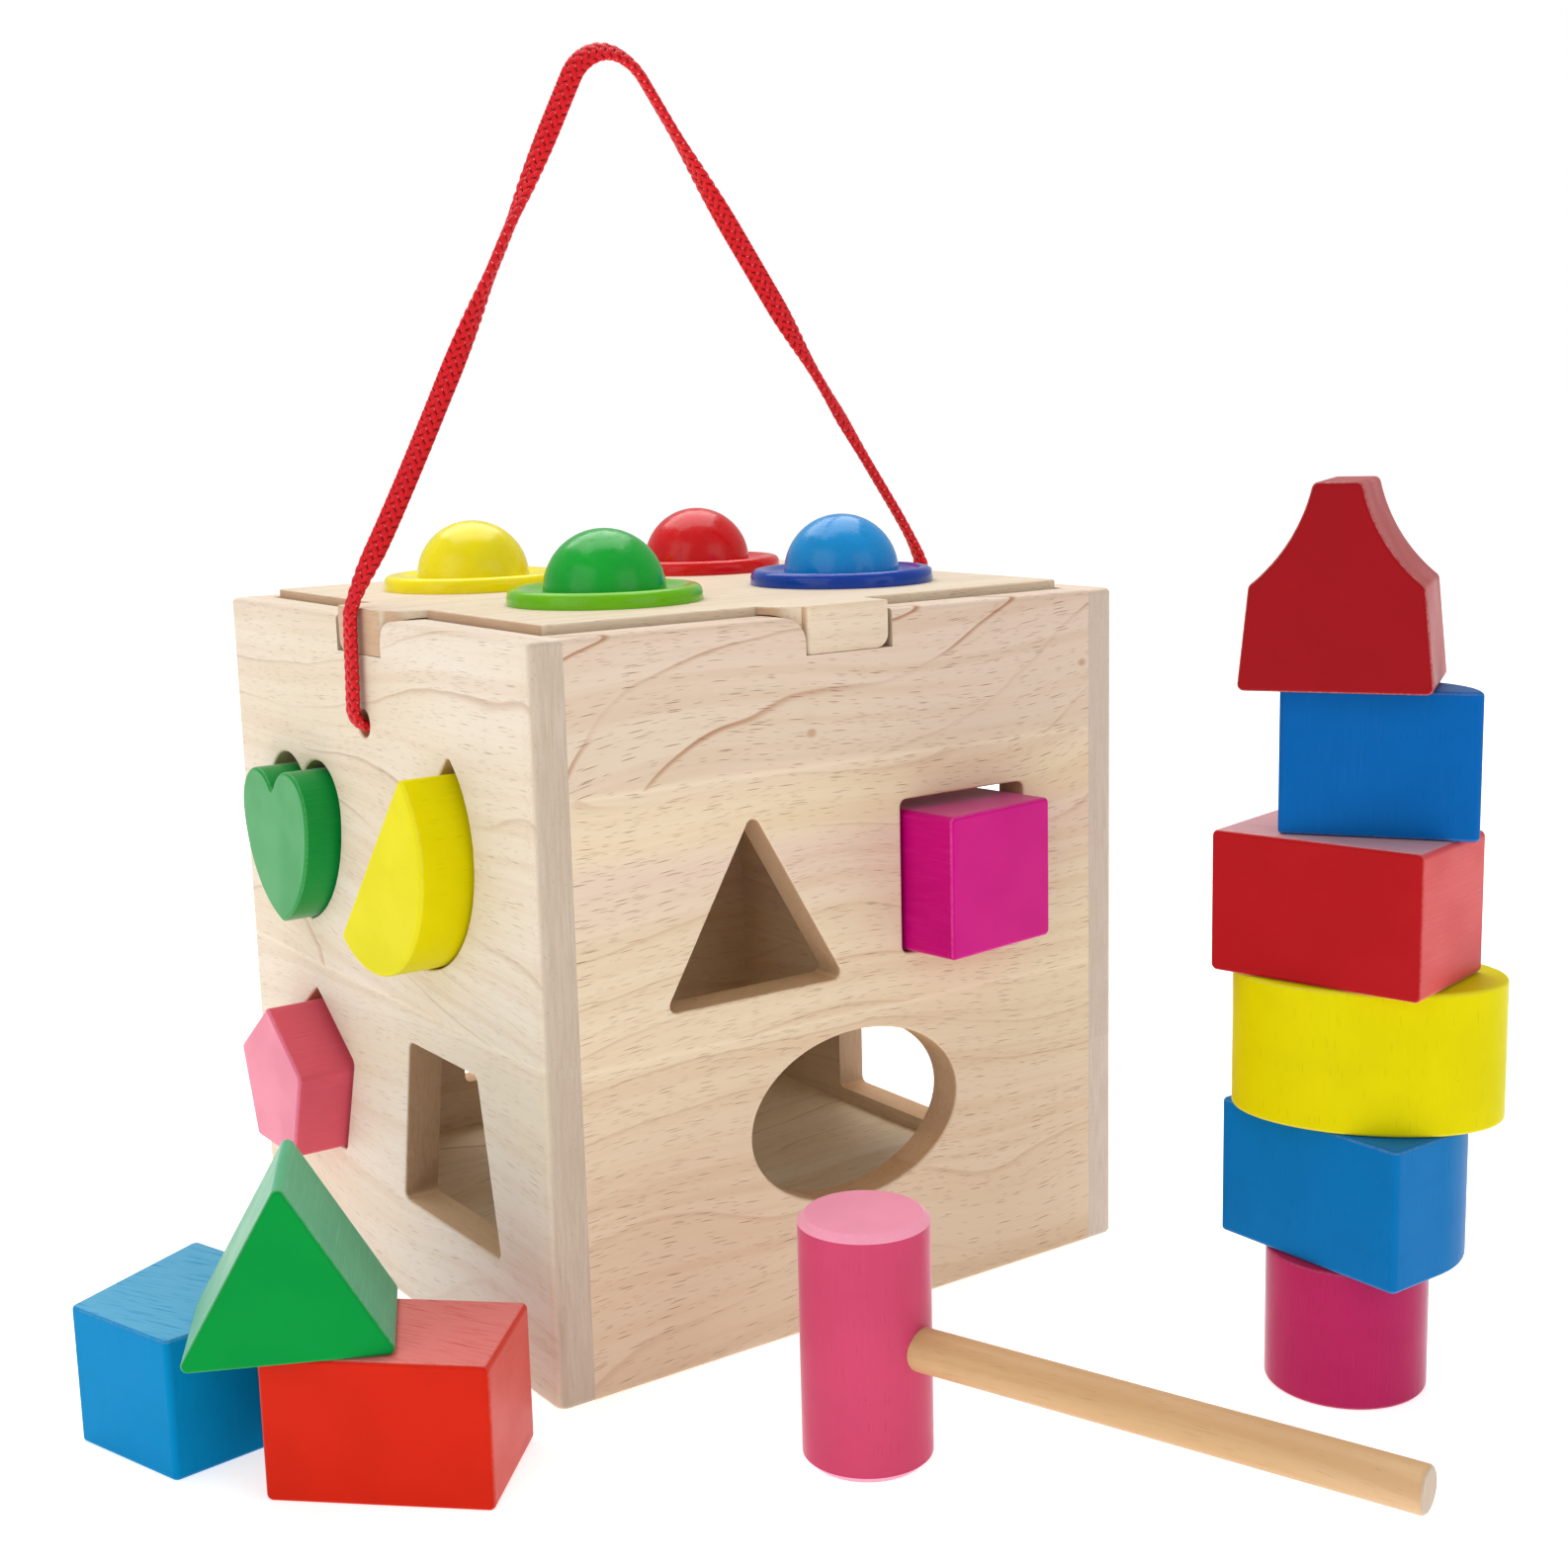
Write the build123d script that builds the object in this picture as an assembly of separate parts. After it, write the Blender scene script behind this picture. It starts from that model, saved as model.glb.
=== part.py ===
"""Wooden shape-sorting cube with a hammer-ball lid, a carrying cord, thirteen blocks and a mallet.

Frame: origin at the centre of the box's underside, on the surface that everything stands on.
+Z is up, -Y is the side with the triangle, square and oval holes, -X the side with the heart.
All sizes are in millimetres. Every separate piece is one node, written to parts/NODE.step.
"""
from build123d import *
from math import atan2, cos, radians, sin, sqrt, tan
import os

# ---------------------------------------------------------------- driving dimensions
BOX = 150.0                   # the cube's outside width and depth
HEIGHT = 153.0                # top of the four panels
WALL = 8.0                    # panel thickness
FLOOR = 9.4                   # bottom board thickness
CORNER_ROUND = 2.6            # upright outer corners of the side panels
EDGE_ROUND = 1.2              # long edges of the panels
HOLE_EASE = 0.6               # sanded rim of each shape hole

LID_GAP_X = 0.7               # lid board to side panels
LID_GAP_Y = 1.4               # lid board to front and back panels
LID_PROUD = 2.0               # lid's top above the panels
NOTCH_DEPTH = 8.0             # notch in the top edge of each panel
NOTCH_LEFT = -10.8            # notch walls, seen from outside
NOTCH_RIGHT = 11.4
NOTCH_ROUND = 5.5             # rounded top corner on one side of each notch
TAB_LEFT = -10.5              # the lid's tab in that notch
TAB_RIGHT = 10.4
TAB_LIFT = 0.1                # film of air under each tab

BALL_SPACING_X = 31.5         # each ball's distance from the middle of the lid
BALL_SPACING_Y = 30.6
BALL_R = 13.2
BALL_Z = 157.4                # ball centre while it waits in its ring
RING_R = 21.0                 # collar of each ring
RING_BORE = 13.5              # lets the ball through
RING_HEIGHT = 3.4             # rolled rim above the lid
SLEEVE_R = 15.0               # sleeve of the ring inside the lid

CORD_D = 4.6                  # width of the braided cord
CORD_HOLE_R = 3.0
CORD_HOLE_Z = 130.0
KNOT_R = 5.6                  # stopper knot inside each side panel
KNOT_LENGTH = 9.0

BLOCK = 28.0                  # thickness of every block
PLAY = 1.4                    # each block is this much smaller than its hole, all round
HOLE_CORNER = 1.6             # corner radius of the holes
BLOCK_CORNER = 1.3            # corner radius of the blocks
BLOCK_EDGE = 0.8              # rounded edges of the sawn faces
STACK_GAP = 0.05              # film of air between stacked blocks

HEAD_R = 12.4                 # mallet head
HEAD_LENGTH = 48.0
HEAD_CHAMFER = 1.4
HANDLE_R = 4.1
HANDLE_REACH = 106.5          # head axis to handle end
HANDLE_BORE = 20.0            # depth of the blind hole for the handle
MALLET_AT = (-36.9, -125.2)   # where the mallet stands on its head, and the way its handle points
MALLET_TURN = -71.0

HALF = BOX / 2
INSIDE = HALF - WALL
LID_TOP = HEIGHT + LID_PROUD
LID_UNDER = HEIGHT - NOTCH_DEPTH + TAB_LIFT

FRONT = Plane(origin=(0, -HALF, 0), x_dir=(1, 0, 0), z_dir=(0, -1, 0))
LEFT = Plane(origin=(-HALF, 0, 0), x_dir=(0, -1, 0), z_dir=(-1, 0, 0))
RIGHT = Plane(origin=(HALF, 0, 0), x_dir=(0, 1, 0), z_dir=(1, 0, 0))
BACK = Plane(origin=(0, HALF, 0), x_dir=(-1, 0, 0), z_dir=(0, 1, 0))

nodes = {}


# ---------------------------------------------------------------- outlines of the shapes
# Each outline is the hole's; with shrink it is that much smaller all round, as its block is.
def shrunk(outline, amount):
    return offset(outline, amount=-amount, kind=Kind.INTERSECTION) if amount else outline


def triangle(shrink=0.0):
    """Equal-sided, point up."""
    side, height = 44.4, 38.4
    outline = Polygon((-side / 2, -height / 2), (side / 2, -height / 2), (0, height / 2), align=None)
    return shrunk(outline, shrink)


def square(shrink=0.0):
    return Rectangle(34.4 - 2 * shrink, 33.6 - 2 * shrink)


def oval(shrink=0.0):
    return Ellipse(27.3 - shrink, 18.5 - shrink)


def heart(shrink=0.0):
    """Two round lobes whose outer sides run on as wider arcs to a blunt tip."""
    lobe, apart, up, tip = 11.2, 9.0, 7.4, -19.7
    reach, drop = apart + lobe, up - tip
    flank = (reach**2 + drop**2) / (2 * reach)
    middle = reach - flank
    lobe, flank = lobe - shrink, flank - shrink
    slant = atan2(sqrt(flank**2 - middle**2), -middle)
    notch = (0, up + sqrt(lobe**2 - apart**2))
    crest = (apart, up + lobe)
    side = (apart + lobe, up)
    haunch = (middle + flank * cos(slant / 2), up - flank * sin(slant / 2))
    low = (0, up - flank * sin(slant))
    with BuildSketch() as sketch:
        with BuildLine():
            ThreePointArc(notch, crest, side)
            ThreePointArc(side, haunch, low)
            ThreePointArc(low, (-haunch[0], haunch[1]), (-side[0], side[1]))
            ThreePointArc((-side[0], side[1]), (-crest[0], crest[1]), notch)
        make_face()
    return sketch.sketch


def half_circle(radius, shrink):
    """Half a disc over its straight side; the origin is the middle of the unshrunk side."""
    reach = radius - shrink
    return Circle(reach) & Pos(0, shrink + reach / 2) * Rectangle(2 * reach, reach)


def half_disc(shrink=0.0):
    return half_circle(27.0, shrink)


def half_round(shrink=0.0):
    return half_circle(20.0, shrink)


def pentagon(shrink=0.0):
    return Rot(0, 0, 90) * RegularPolygon(20.3 - shrink / cos(radians(36)), 5)


def trapezoid(shrink=0.0):
    top, bottom, height = 31.5, 45.5, 37.4
    outline = Polygon(
        (-bottom / 2, -height / 2),
        (bottom / 2, -height / 2),
        (top / 2, height / 2),
        (-top / 2, height / 2),
        align=None,
    )
    return shrunk(outline, shrink)


def rectangle(shrink=0.0):
    return Rectangle(46.0 - 2 * shrink, 30.8 - 2 * shrink)


def disc(shrink=0.0):
    return Circle(17.2 - shrink)


def arch(shrink=0.0):
    """Straight sides under a round end."""
    radius, straight = 22.9 - shrink, 16.0 - shrink
    end = Pos(0, 8.0) * half_circle(radius, 0)
    return Pos(0, shrink / 2) * Rectangle(2 * radius, straight) + end


def bell(shrink=0.0):
    """Splayed sides, shoulders, and concave flanks up to a flat crown."""
    base, shoulder, crown, flank_radius = 19.4, 17.2, 5.6, 31
    low, mid, high = -21.0, 0.8, 20.4
    with BuildSketch() as sketch:
        with BuildLine():
            Polyline((-shoulder, mid), (-base, low), (base, low), (shoulder, mid))
            RadiusArc((shoulder, mid), (crown, high), flank_radius)
            Line((crown, high), (-crown, high))
            RadiusArc((-crown, high), (-shoulder, mid), flank_radius)
        make_face()
    return shrunk(sketch.sketch, shrink)


# each hole: outline, the panel it is in, its place on that panel (across, up) and its turn
HOLES = {
    "heart": (heart, LEFT, (-36.1, 100.0), 0),
    "half_disc": (half_disc, LEFT, (22.0, 107.2), -131),
    "pentagon": (pentagon, LEFT, (-36.2, 43.4), 0),
    "trapezoid": (trapezoid, LEFT, (29.6, 43.2), 0),
    "triangle": (triangle, FRONT, (-25.0, 95.4), 0),
    "square": (square, FRONT, (30.1, 95.4), 0),
    "oval": (oval, FRONT, (0.0, 45.6), 0),
    "disc": (disc, RIGHT, (-37.0, 100.0), 0),
    "half_round": (half_round, RIGHT, (34.0, 90.0), 0),
    "rectangle": (rectangle, RIGHT, (-0.6, 28.4), 0),
    "bell": (bell, BACK, (-33.0, 98.0), 0),
    "arch": (arch, BACK, (33.0, 90.0), 0),
    "rectangle_back": (rectangle, BACK, (0.0, 37.0), 0),
}


def sharp_corners(outline):
    """The vertices where two edges of an outline don't run smoothly into each other."""
    edges = outline.face().outer_wire().order_edges()
    places = []
    for edge, following in zip(edges, edges[1:] + edges[:1]):
        turn = (edge % 1).get_angle(following % 0)
        if len(edges) > 1 and min(turn, 180 - turn) > 5:
            places.append(following @ 0)
    return [v for v in outline.vertices() if any((Vector(v) - p).length < 0.01 for p in places)]


def eased(outline, radius):
    """An outline with its corners rounded; a smooth outline has none to round."""
    corners = sharp_corners(outline)
    return fillet(corners, radius) if corners else outline


def block_solid(name):
    """The block for a hole: its outline lies in XY with the sawn faces at z = 0 and z = BLOCK."""
    outline = HOLES[name][0](PLAY)
    solid = extrude(eased(outline, BLOCK_CORNER), BLOCK)
    ends = solid.faces().filter_by(Axis.Z)
    return fillet(ends.edges(), BLOCK_EDGE)


# ---------------------------------------------------------------- the box
def notch_cutter():
    """Space for a tab in the front panel; one top corner of the notch is rounded."""
    floor, top = HEIGHT - NOTCH_DEPTH, HEIGHT + 5
    start = (NOTCH_LEFT, HEIGHT - NOTCH_ROUND)
    end = (NOTCH_LEFT - NOTCH_ROUND, HEIGHT)
    with BuildSketch(FRONT) as sketch:
        with BuildLine():
            RadiusArc(end, start, NOTCH_ROUND)
            Polyline(
                start,
                (NOTCH_LEFT, floor),
                (NOTCH_RIGHT, floor),
                (NOTCH_RIGHT, top),
                (end[0], top),
                end,
            )
        make_face()
    return extrude(sketch.sketch, WALL + 1, both=True)


def on_four_sides(front_solid):
    """A feature of the front side, repeated so that the rounded corners face each other in pairs."""
    left = mirror(front_solid, about=Plane(origin=(0, 0, 0), z_dir=(1, -1, 0)))
    half_turn = Rot(0, 0, 180)
    return {"front": front_solid, "left": left, "back": half_turn * front_solid, "right": half_turn * left}


def panel(side, plane, width):
    """One panel with its shape holes, its notch and, on the two sides, the cord's hole."""
    board = extrude(plane * Pos(0, HEIGHT / 2) * Rectangle(width, HEIGHT), -WALL)
    normal = Axis((0, 0, 0), plane.z_dir)
    outer = board.faces().sort_by(normal)[-1]
    if width == BOX:
        uprights = outer.edges().filter_by(Axis.Z)
        board = fillet(uprights, CORNER_ROUND)
        outer = board.faces().sort_by(normal)[-1]
    board = fillet(outer.edges().filter_by(Axis.Z, reverse=True), EDGE_ROUND)
    board -= on_four_sides(notch_cutter())[side]
    for outline, hole_plane, place, turn in HOLES.values():
        if hole_plane is plane:
            hole = plane * Pos(*place) * Rot(0, 0, turn) * eased(outline(), HOLE_CORNER)
            board -= extrude(hole, WALL + 1, both=True)
    if width == BOX:
        board -= extrude(plane * Pos(0, CORD_HOLE_Z) * Circle(CORD_HOLE_R), WALL + 1, both=True)
    outer = board.faces().sort_by(normal)[-1]
    rims = [edge for wire in outer.inner_wires() for edge in wire.edges()]
    return fillet(rims, HOLE_EASE)


def bottom_board():
    side = 2 * INSIDE
    return Pos(0, 0, FLOOR / 2) * Box(side, side, FLOOR)


# ---------------------------------------------------------------- the lid with its rings and balls
def ball_places():
    x, y = BALL_SPACING_X, BALL_SPACING_Y
    return {"yellow": (-x, y), "green": (-x, -y), "red": (x, y), "blue": (x, -y)}


def tab():
    """The front tab: curved on one side in plan, and hollowed to clear the notch's round corner."""
    root = -(INSIDE - 2.5)
    tip = -HALF + 0.2
    sweep = NOTCH_ROUND + 0.6
    with BuildSketch() as plan:
        with BuildLine():
            RadiusArc((TAB_LEFT - sweep, root - 1.5), (TAB_LEFT, tip + 1.6), -9)
            RadiusArc((TAB_LEFT, tip + 1.6), (TAB_LEFT + 1.6, tip), -1.6)
            Polyline(
                (TAB_LEFT + 1.6, tip),
                (TAB_RIGHT, tip),
                (TAB_RIGHT, root),
                (TAB_LEFT - sweep, root),
                (TAB_LEFT - sweep, root - 1.5),
            )
        make_face()
    gap = TAB_LEFT - NOTCH_LEFT
    bend = (TAB_LEFT, HEIGHT - NOTCH_ROUND)
    bend_end = (NOTCH_LEFT - NOTCH_ROUND, HEIGHT + gap)
    lower = 3.0
    with BuildSketch(Plane.XZ) as profile:
        with BuildLine():
            RadiusArc(bend_end, bend, NOTCH_ROUND + gap)
            Polyline(bend, (TAB_LEFT, LID_UNDER), (TAB_RIGHT - lower, LID_UNDER))
            RadiusArc((TAB_RIGHT - lower, LID_UNDER), (TAB_RIGHT, LID_UNDER + lower), -lower)
            Polyline(
                (TAB_RIGHT, LID_UNDER + lower),
                (TAB_RIGHT, LID_TOP),
                (bend_end[0] - 4, LID_TOP),
                (bend_end[0] - 4, bend_end[1]),
                bend_end,
            )
        make_face()
    upright = extrude(Pos(0, 0, LID_UNDER) * plan.sketch, LID_TOP - LID_UNDER)
    return upright & extrude(profile.sketch, HALF + 5)


def lid_board():
    """A square board that drops inside the panels, with a tab in each of their notches."""
    across = 2 * (INSIDE - LID_GAP_X)
    deep = 2 * (INSIDE - LID_GAP_Y)
    thick = LID_TOP - LID_UNDER
    board = Pos(0, 0, LID_UNDER) * extrude(RectangleRounded(across, deep, 1.5), thick)
    for solid in on_four_sides(tab()).values():
        board += solid
    rim = board.faces().sort_by(Axis.Z)[-1].edges()
    board = fillet(rim, 0.5)
    for x, y in ball_places().values():
        board -= Pos(x, y, LID_UNDER - 1) * extrude(Circle(SLEEVE_R + 0.02), thick + 2)
    return board


def ring():
    """A plastic collar: a rolled rim on the lid, a dished top and a sleeve through the board."""
    with BuildSketch(Plane.XZ) as section:
        with BuildLine():
            Polyline(
                (RING_BORE, RING_HEIGHT - 1.5),
                (RING_BORE, LID_UNDER - LID_TOP),
                (SLEEVE_R, LID_UNDER - LID_TOP),
                (SLEEVE_R, 0.02),
                (RING_R, 0.02),
                (RING_R, 0.8),
            )
            Spline((RING_R, 0.8), (RING_R - 2.0, RING_HEIGHT), tangents=((0, 1), (-1, 0)))
            Spline(
                (RING_R - 2.0, RING_HEIGHT),
                (RING_BORE + 1.6, RING_HEIGHT - 1.0),
                (RING_BORE, RING_HEIGHT - 1.5),
                tangents=((-1, 0), (-0.5, -1)),
            )
        make_face()
    return Pos(0, 0, LID_TOP) * revolve(section.sketch, Axis.Z)


# ---------------------------------------------------------------- the carrying cord
CORD_ROUTE = [
    (-66.9, 0.0, 130.0),
    (-78.0, 0.0, 130.0),
    (-79.2, -0.5, 155.5),
    (-66.6, -0.5, 174.6),
    (-42.5, 0.2, 219.0),
    (-15.2, 0.0, 271.2),
    (-7.8, 0.0, 274.6),
    (-0.6, 0.0, 271.3),
    (37.5, -1.9, 215.2),
    (60.0, -3.0, 184.4),
    (79.4, -3.8, 156.4),
    (78.0, 0.0, 130.0),
    (66.9, 0.0, 130.0),
]
CORNER_REACH = 0.45           # share of the shorter run that each corner's arc takes


def cord_radii():
    """The largest tangent arc that each corner's two runs allow."""
    points = [Vector(*p) for p in CORD_ROUTE]
    radii = []
    for before, here, after in zip(points, points[1:], points[2:]):
        turn = radians((here - before).get_angle(after - here))
        shorter = min((here - before).length, (after - here).length)
        radii.append(CORNER_REACH * shorter / tan(turn / 2))
    return radii


def carry_cord():
    """The cord as a plain tube: straight runs joined by arcs, from knot to knot."""
    radii = cord_radii()
    path = FilletPolyline(*CORD_ROUTE, radius=radii)
    section = Plane(origin=path @ 0, z_dir=path % 0) * Circle(CORD_D / 2)
    tube = sweep(section, path)
    print("cord radii", [round(r, 1) for r in radii])
    print("cord length", round(path.length, 1), "volume over section times length",
          round(tube.volume / (section.area * path.length), 4))
    return tube


def cord_knots():
    """Both stopper knots, pulled up against the inner faces of the side panels."""
    knot = Rot(0, 90, 0) * Cylinder(KNOT_R, KNOT_LENGTH)
    knot = fillet(knot.edges(), 3.4)
    x = INSIDE - 0.1 - KNOT_LENGTH / 2
    return Compound(children=[Pos(-x, 0, CORD_HOLE_Z) * knot, Pos(x, 0, CORD_HOLE_Z) * knot])


# ---------------------------------------------------------------- blocks standing in their holes
def inserted(name, proud, sag, yaw=0.0, roll=0.0):
    """A block resting on the lower edge of its hole and standing proud of the panel."""
    _, plane, (across, up), turn = HOLES[name]
    placed = Rot(0, 0, turn) * block_solid(name)
    placed = Pos(0, 0, proud - BLOCK) * placed
    return plane * Pos(across, up - sag) * Rot(0, yaw, roll) * placed


# ---------------------------------------------------------------- loose blocks
def centred(solid):
    """A block with its middle over the origin and its underside at z = 0."""
    box = solid.bounding_box()
    middle = box.center()
    return Pos(-middle.X, -middle.Y, -box.min.Z) * solid


def on_end(name, place, z, turn):
    """A block standing on a sawn face, with its axis upright."""
    return Pos(*place, z) * Rot(0, 0, turn) * centred(block_solid(name))


def on_edge(name, place, z, turn):
    """A block standing as its hole does, with its sawn faces upright."""
    return Pos(*place, z) * Rot(0, 0, turn) * centred(Rot(90, 0, 0) * block_solid(name))


def tower():
    """Six blocks, one on top of another: name, place, stance and turn, from the ground up."""
    layers = [
        ("block_disc", "disc", (58.4, -158.4), on_end, 0),
        ("block_arch", "arch", (62.6, -158.8), on_end, -89),
        ("block_oval", "oval", (60.5, -160.5), on_end, -52),
        ("block_rectangle_red", "rectangle", (56.7, -157.8), on_edge, -76),
        ("block_half_round", "half_round", (60.6, -162.5), on_end, -56),
        ("block_bell", "bell", (55.8, -156.7), on_edge, -57),
    ]
    level = 0.0
    for node, shape, place, stance, turn in layers:
        nodes[node] = stance(shape, place, level, turn)
        level = nodes[node].bounding_box().max.Z + STACK_GAP


def pile():
    """Two blocks side by side on the ground, bridged by the triangle."""
    nodes["block_rectangle_orange"] = on_edge("rectangle", (-109.3, -76.3), 0, -43)
    nodes["block_trapezoid"] = on_end("trapezoid", (-133.5, -35.5), 0, 108)
    deck = max(nodes[n].bounding_box().max.Z for n in ("block_rectangle_orange", "block_trapezoid"))
    nodes["block_triangle"] = on_edge("triangle", (-125.0, -66.0), deck + STACK_GAP, -26)


# ---------------------------------------------------------------- mallet
def mallet():
    """Head and handle, standing on one flat end of the head with the handle level."""
    head = Cylinder(HEAD_R, HEAD_LENGTH)
    head = chamfer(head.edges().filter_by(GeomType.CIRCLE), HEAD_CHAMFER)
    bore_end = HEAD_R - HANDLE_BORE
    rod_length = HANDLE_REACH - bore_end
    bore = Pos(bore_end + rod_length / 2, 0, 0) * Rot(0, 90, 0) * Cylinder(HANDLE_R, rod_length)
    rod = fillet(bore.edges().sort_by(Axis.X)[-1], 0.8)
    place = Pos(*MALLET_AT, HEAD_LENGTH / 2) * Rot(0, 0, MALLET_TURN)
    return place * (head - bore), place * rod


# ---------------------------------------------------------------- build every node
def build():
    nodes["left_panel"] = panel("left", LEFT, BOX)
    nodes["right_panel"] = panel("right", RIGHT, BOX)
    nodes["front_panel"] = panel("front", FRONT, 2 * INSIDE)
    nodes["back_panel"] = panel("back", BACK, 2 * INSIDE)
    nodes["bottom_board"] = bottom_board()
    nodes["lid_board"] = lid_board()
    for colour, (x, y) in ball_places().items():
        nodes[f"ring_{colour}"] = Pos(x, y, 0) * ring()
        nodes[f"ball_{colour}"] = Pos(x, y, BALL_Z) * Sphere(BALL_R)
    nodes["carry_cord"] = carry_cord()
    nodes["cord_knots"] = cord_knots()

    nodes["block_heart"] = inserted("heart", 7.6, PLAY - 0.4, roll=3)
    nodes["block_half_disc"] = inserted("half_disc", 10.8, PLAY - 0.3)
    nodes["block_pentagon"] = inserted("pentagon", 12.6, PLAY - 0.3)
    nodes["block_square"] = inserted("square", 11.0, PLAY - 0.3, yaw=8)

    tower()
    pile()
    nodes["mallet_head"], nodes["mallet_handle"] = mallet()


build()
os.makedirs("parts", exist_ok=True)
for name, shape in nodes.items():
    export_step(shape, f"parts/{name}.step")
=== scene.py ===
"""Looks of the wooden shape-sorting cube: materials for every CAD node, the braided cord and its knots,
a pale floor, soft studio light and the camera. Lengths are metres unless a name or a note says mm."""
import math

import bpy
import numpy as np
from mathutils import Matrix, Vector


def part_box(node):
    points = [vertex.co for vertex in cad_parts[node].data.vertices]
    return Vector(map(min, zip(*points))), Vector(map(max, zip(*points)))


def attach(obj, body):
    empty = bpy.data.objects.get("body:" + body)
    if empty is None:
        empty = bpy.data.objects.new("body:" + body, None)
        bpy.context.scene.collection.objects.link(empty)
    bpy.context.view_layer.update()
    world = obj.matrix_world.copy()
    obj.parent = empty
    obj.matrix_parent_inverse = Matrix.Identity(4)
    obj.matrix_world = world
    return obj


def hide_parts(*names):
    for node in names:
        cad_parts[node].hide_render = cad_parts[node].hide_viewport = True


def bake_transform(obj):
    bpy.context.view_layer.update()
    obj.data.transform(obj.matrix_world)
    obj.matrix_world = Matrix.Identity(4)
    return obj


MM = 0.001
MALLET_TURN = -71.0          # degrees, the way the mallet's handle points

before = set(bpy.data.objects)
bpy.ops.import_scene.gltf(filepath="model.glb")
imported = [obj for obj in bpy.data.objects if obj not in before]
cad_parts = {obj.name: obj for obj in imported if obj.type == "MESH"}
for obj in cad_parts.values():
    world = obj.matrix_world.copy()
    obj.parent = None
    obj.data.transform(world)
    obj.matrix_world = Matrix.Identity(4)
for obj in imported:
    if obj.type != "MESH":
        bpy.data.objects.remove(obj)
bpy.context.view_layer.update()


# ================================================================ camera
# fitted to the box's edges in the photograph, with the box taken as 150 mm square
CAMERA_PLACE = (-0.25917, -0.42106, 0.19371)
CAMERA_HEADING = 34.963       # degrees from +Y towards +X
CAMERA_PITCH = -9.987
CAMERA_ROLL = -1.486
CAMERA_LENS = 48.41           # mm on a 36 mm sensor


def make_camera():
    heading, pitch, roll = (math.radians(a) for a in (CAMERA_HEADING, CAMERA_PITCH, CAMERA_ROLL))
    level = math.cos(pitch)
    forward = Vector((math.sin(heading) * level, math.cos(heading) * level, math.sin(pitch)))
    side = forward.cross(Vector((0, 0, 1))).normalized()
    top = side.cross(forward)
    right = math.cos(roll) * side + math.sin(roll) * top
    up = math.cos(roll) * top - math.sin(roll) * side
    data = bpy.data.cameras.new("camera")
    data.lens = CAMERA_LENS
    data.sensor_width = 36
    data.clip_start = 0.01
    data.clip_end = 20
    camera = bpy.data.objects.new("camera", data)
    bpy.context.scene.collection.objects.link(camera)
    turn = Matrix((right, up, -forward)).transposed().to_4x4()
    camera.matrix_world = Matrix.Translation(CAMERA_PLACE) @ turn
    bpy.context.scene.camera = camera


# ================================================================ braided cord and its knots
CORD_ROUTE_MM = [
    (-66.9, 0.0, 129.4),
    (-77.4, 0.0, 127.6),
    (-77.0, -0.2, 140.0),
    (-76.9, -0.3, 150.0),
    (-76.6, -0.4, 156.2),
    (-65.4, -0.4, 174.5),
    (-42.3, 0.0, 219.0),
    (-18.9, 0.0, 264.1),
    (-15.2, 0.0, 271.2),
    (-7.8, 0.0, 274.4),
    (-0.6, 0.0, 271.3),
    (3.9, -0.1, 264.9),
    (37.6, -1.9, 215.1),
    (58.6, -3.0, 184.0),
    (76.9, -4.0, 157.3),
    (76.9, -3.2, 150.0),
    (77.0, -1.8, 140.0),
    (77.4, 0.0, 127.6),
    (66.9, 0.0, 129.4),
]
CORD_HALF_WIDTH_MM = 2.05     # of the core that the stitches stand on
CORD_HALF_THICK_MM = 0.82
CORD_HOLE_Z_MM = 130.0
# the turn in degrees of the flat cord about its own line, at these distances along it in mm
CORD_TWIST = [
    (0, 90), (37, 90), (48, 38), (86, 36), (104, -18), (114, -54), (122, -54), (134, -105),
    (148, -146), (166, -152), (182, -122), (198, -112), (212, -70), (226, -26), (244, -24),
    (258, 36), (266, 62), (276, 36), (284, 48), (292, 64), (312, 66), (320, 90), (349, 90),
]
RING_STEP_MM = 0.22           # spacing of the tube's rings
AROUND = 80                   # points in each ring
OVAL_SAMPLES = 720            # points of the oval before they are spaced evenly
TWIST_SMOOTHING = 20          # rings on either side that each ring's twist is averaged over
COLUMNS = 8                   # columns of stitches round the cord, leaning alternately
STITCH_PITCH_MM = 2.3
STITCH_HALF_LENGTH_MM = 1.62
STITCH_HALF_WIDTH_MM = 0.68
STITCH_LEAN = 32              # degrees
STITCH_HEIGHT_MM = 0.44
EYE_RADIUS_MM = 0.22          # eyelet where each pair of stitches meets, painted with a pale highlight


def spline_points(points_mm):
    """Points along the smooth spline that has the given points as its control points, in mm."""
    curve = bpy.data.curves.new("route", "CURVE")
    curve.dimensions = "3D"
    curve.resolution_u = 24
    spline = curve.splines.new("NURBS")
    spline.points.add(len(points_mm) - 1)
    for point, place in zip(spline.points, points_mm):
        point.co = (*place, 1.0)
    spline.order_u = 3
    spline.use_endpoint_u = True
    holder = bpy.data.objects.new("route", curve)
    mesh = bpy.data.meshes.new_from_object(holder)
    points = np.array([v.co for v in mesh.vertices], float)
    bpy.data.objects.remove(holder)
    bpy.data.meshes.remove(mesh)
    bpy.data.curves.remove(curve)
    return points


def evenly(points, step):
    """The same line with points an even step apart, and each point's distance along it."""
    along = np.concatenate([[0], np.cumsum(np.linalg.norm(np.diff(points, axis=0), axis=1))])
    at = np.linspace(0, along[-1], round(along[-1] / step) + 1)
    return np.stack([np.interp(at, along, points[:, k]) for k in range(3)], axis=1), at


def unit(vectors):
    return vectors / np.linalg.norm(vectors, axis=-1, keepdims=True)


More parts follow.
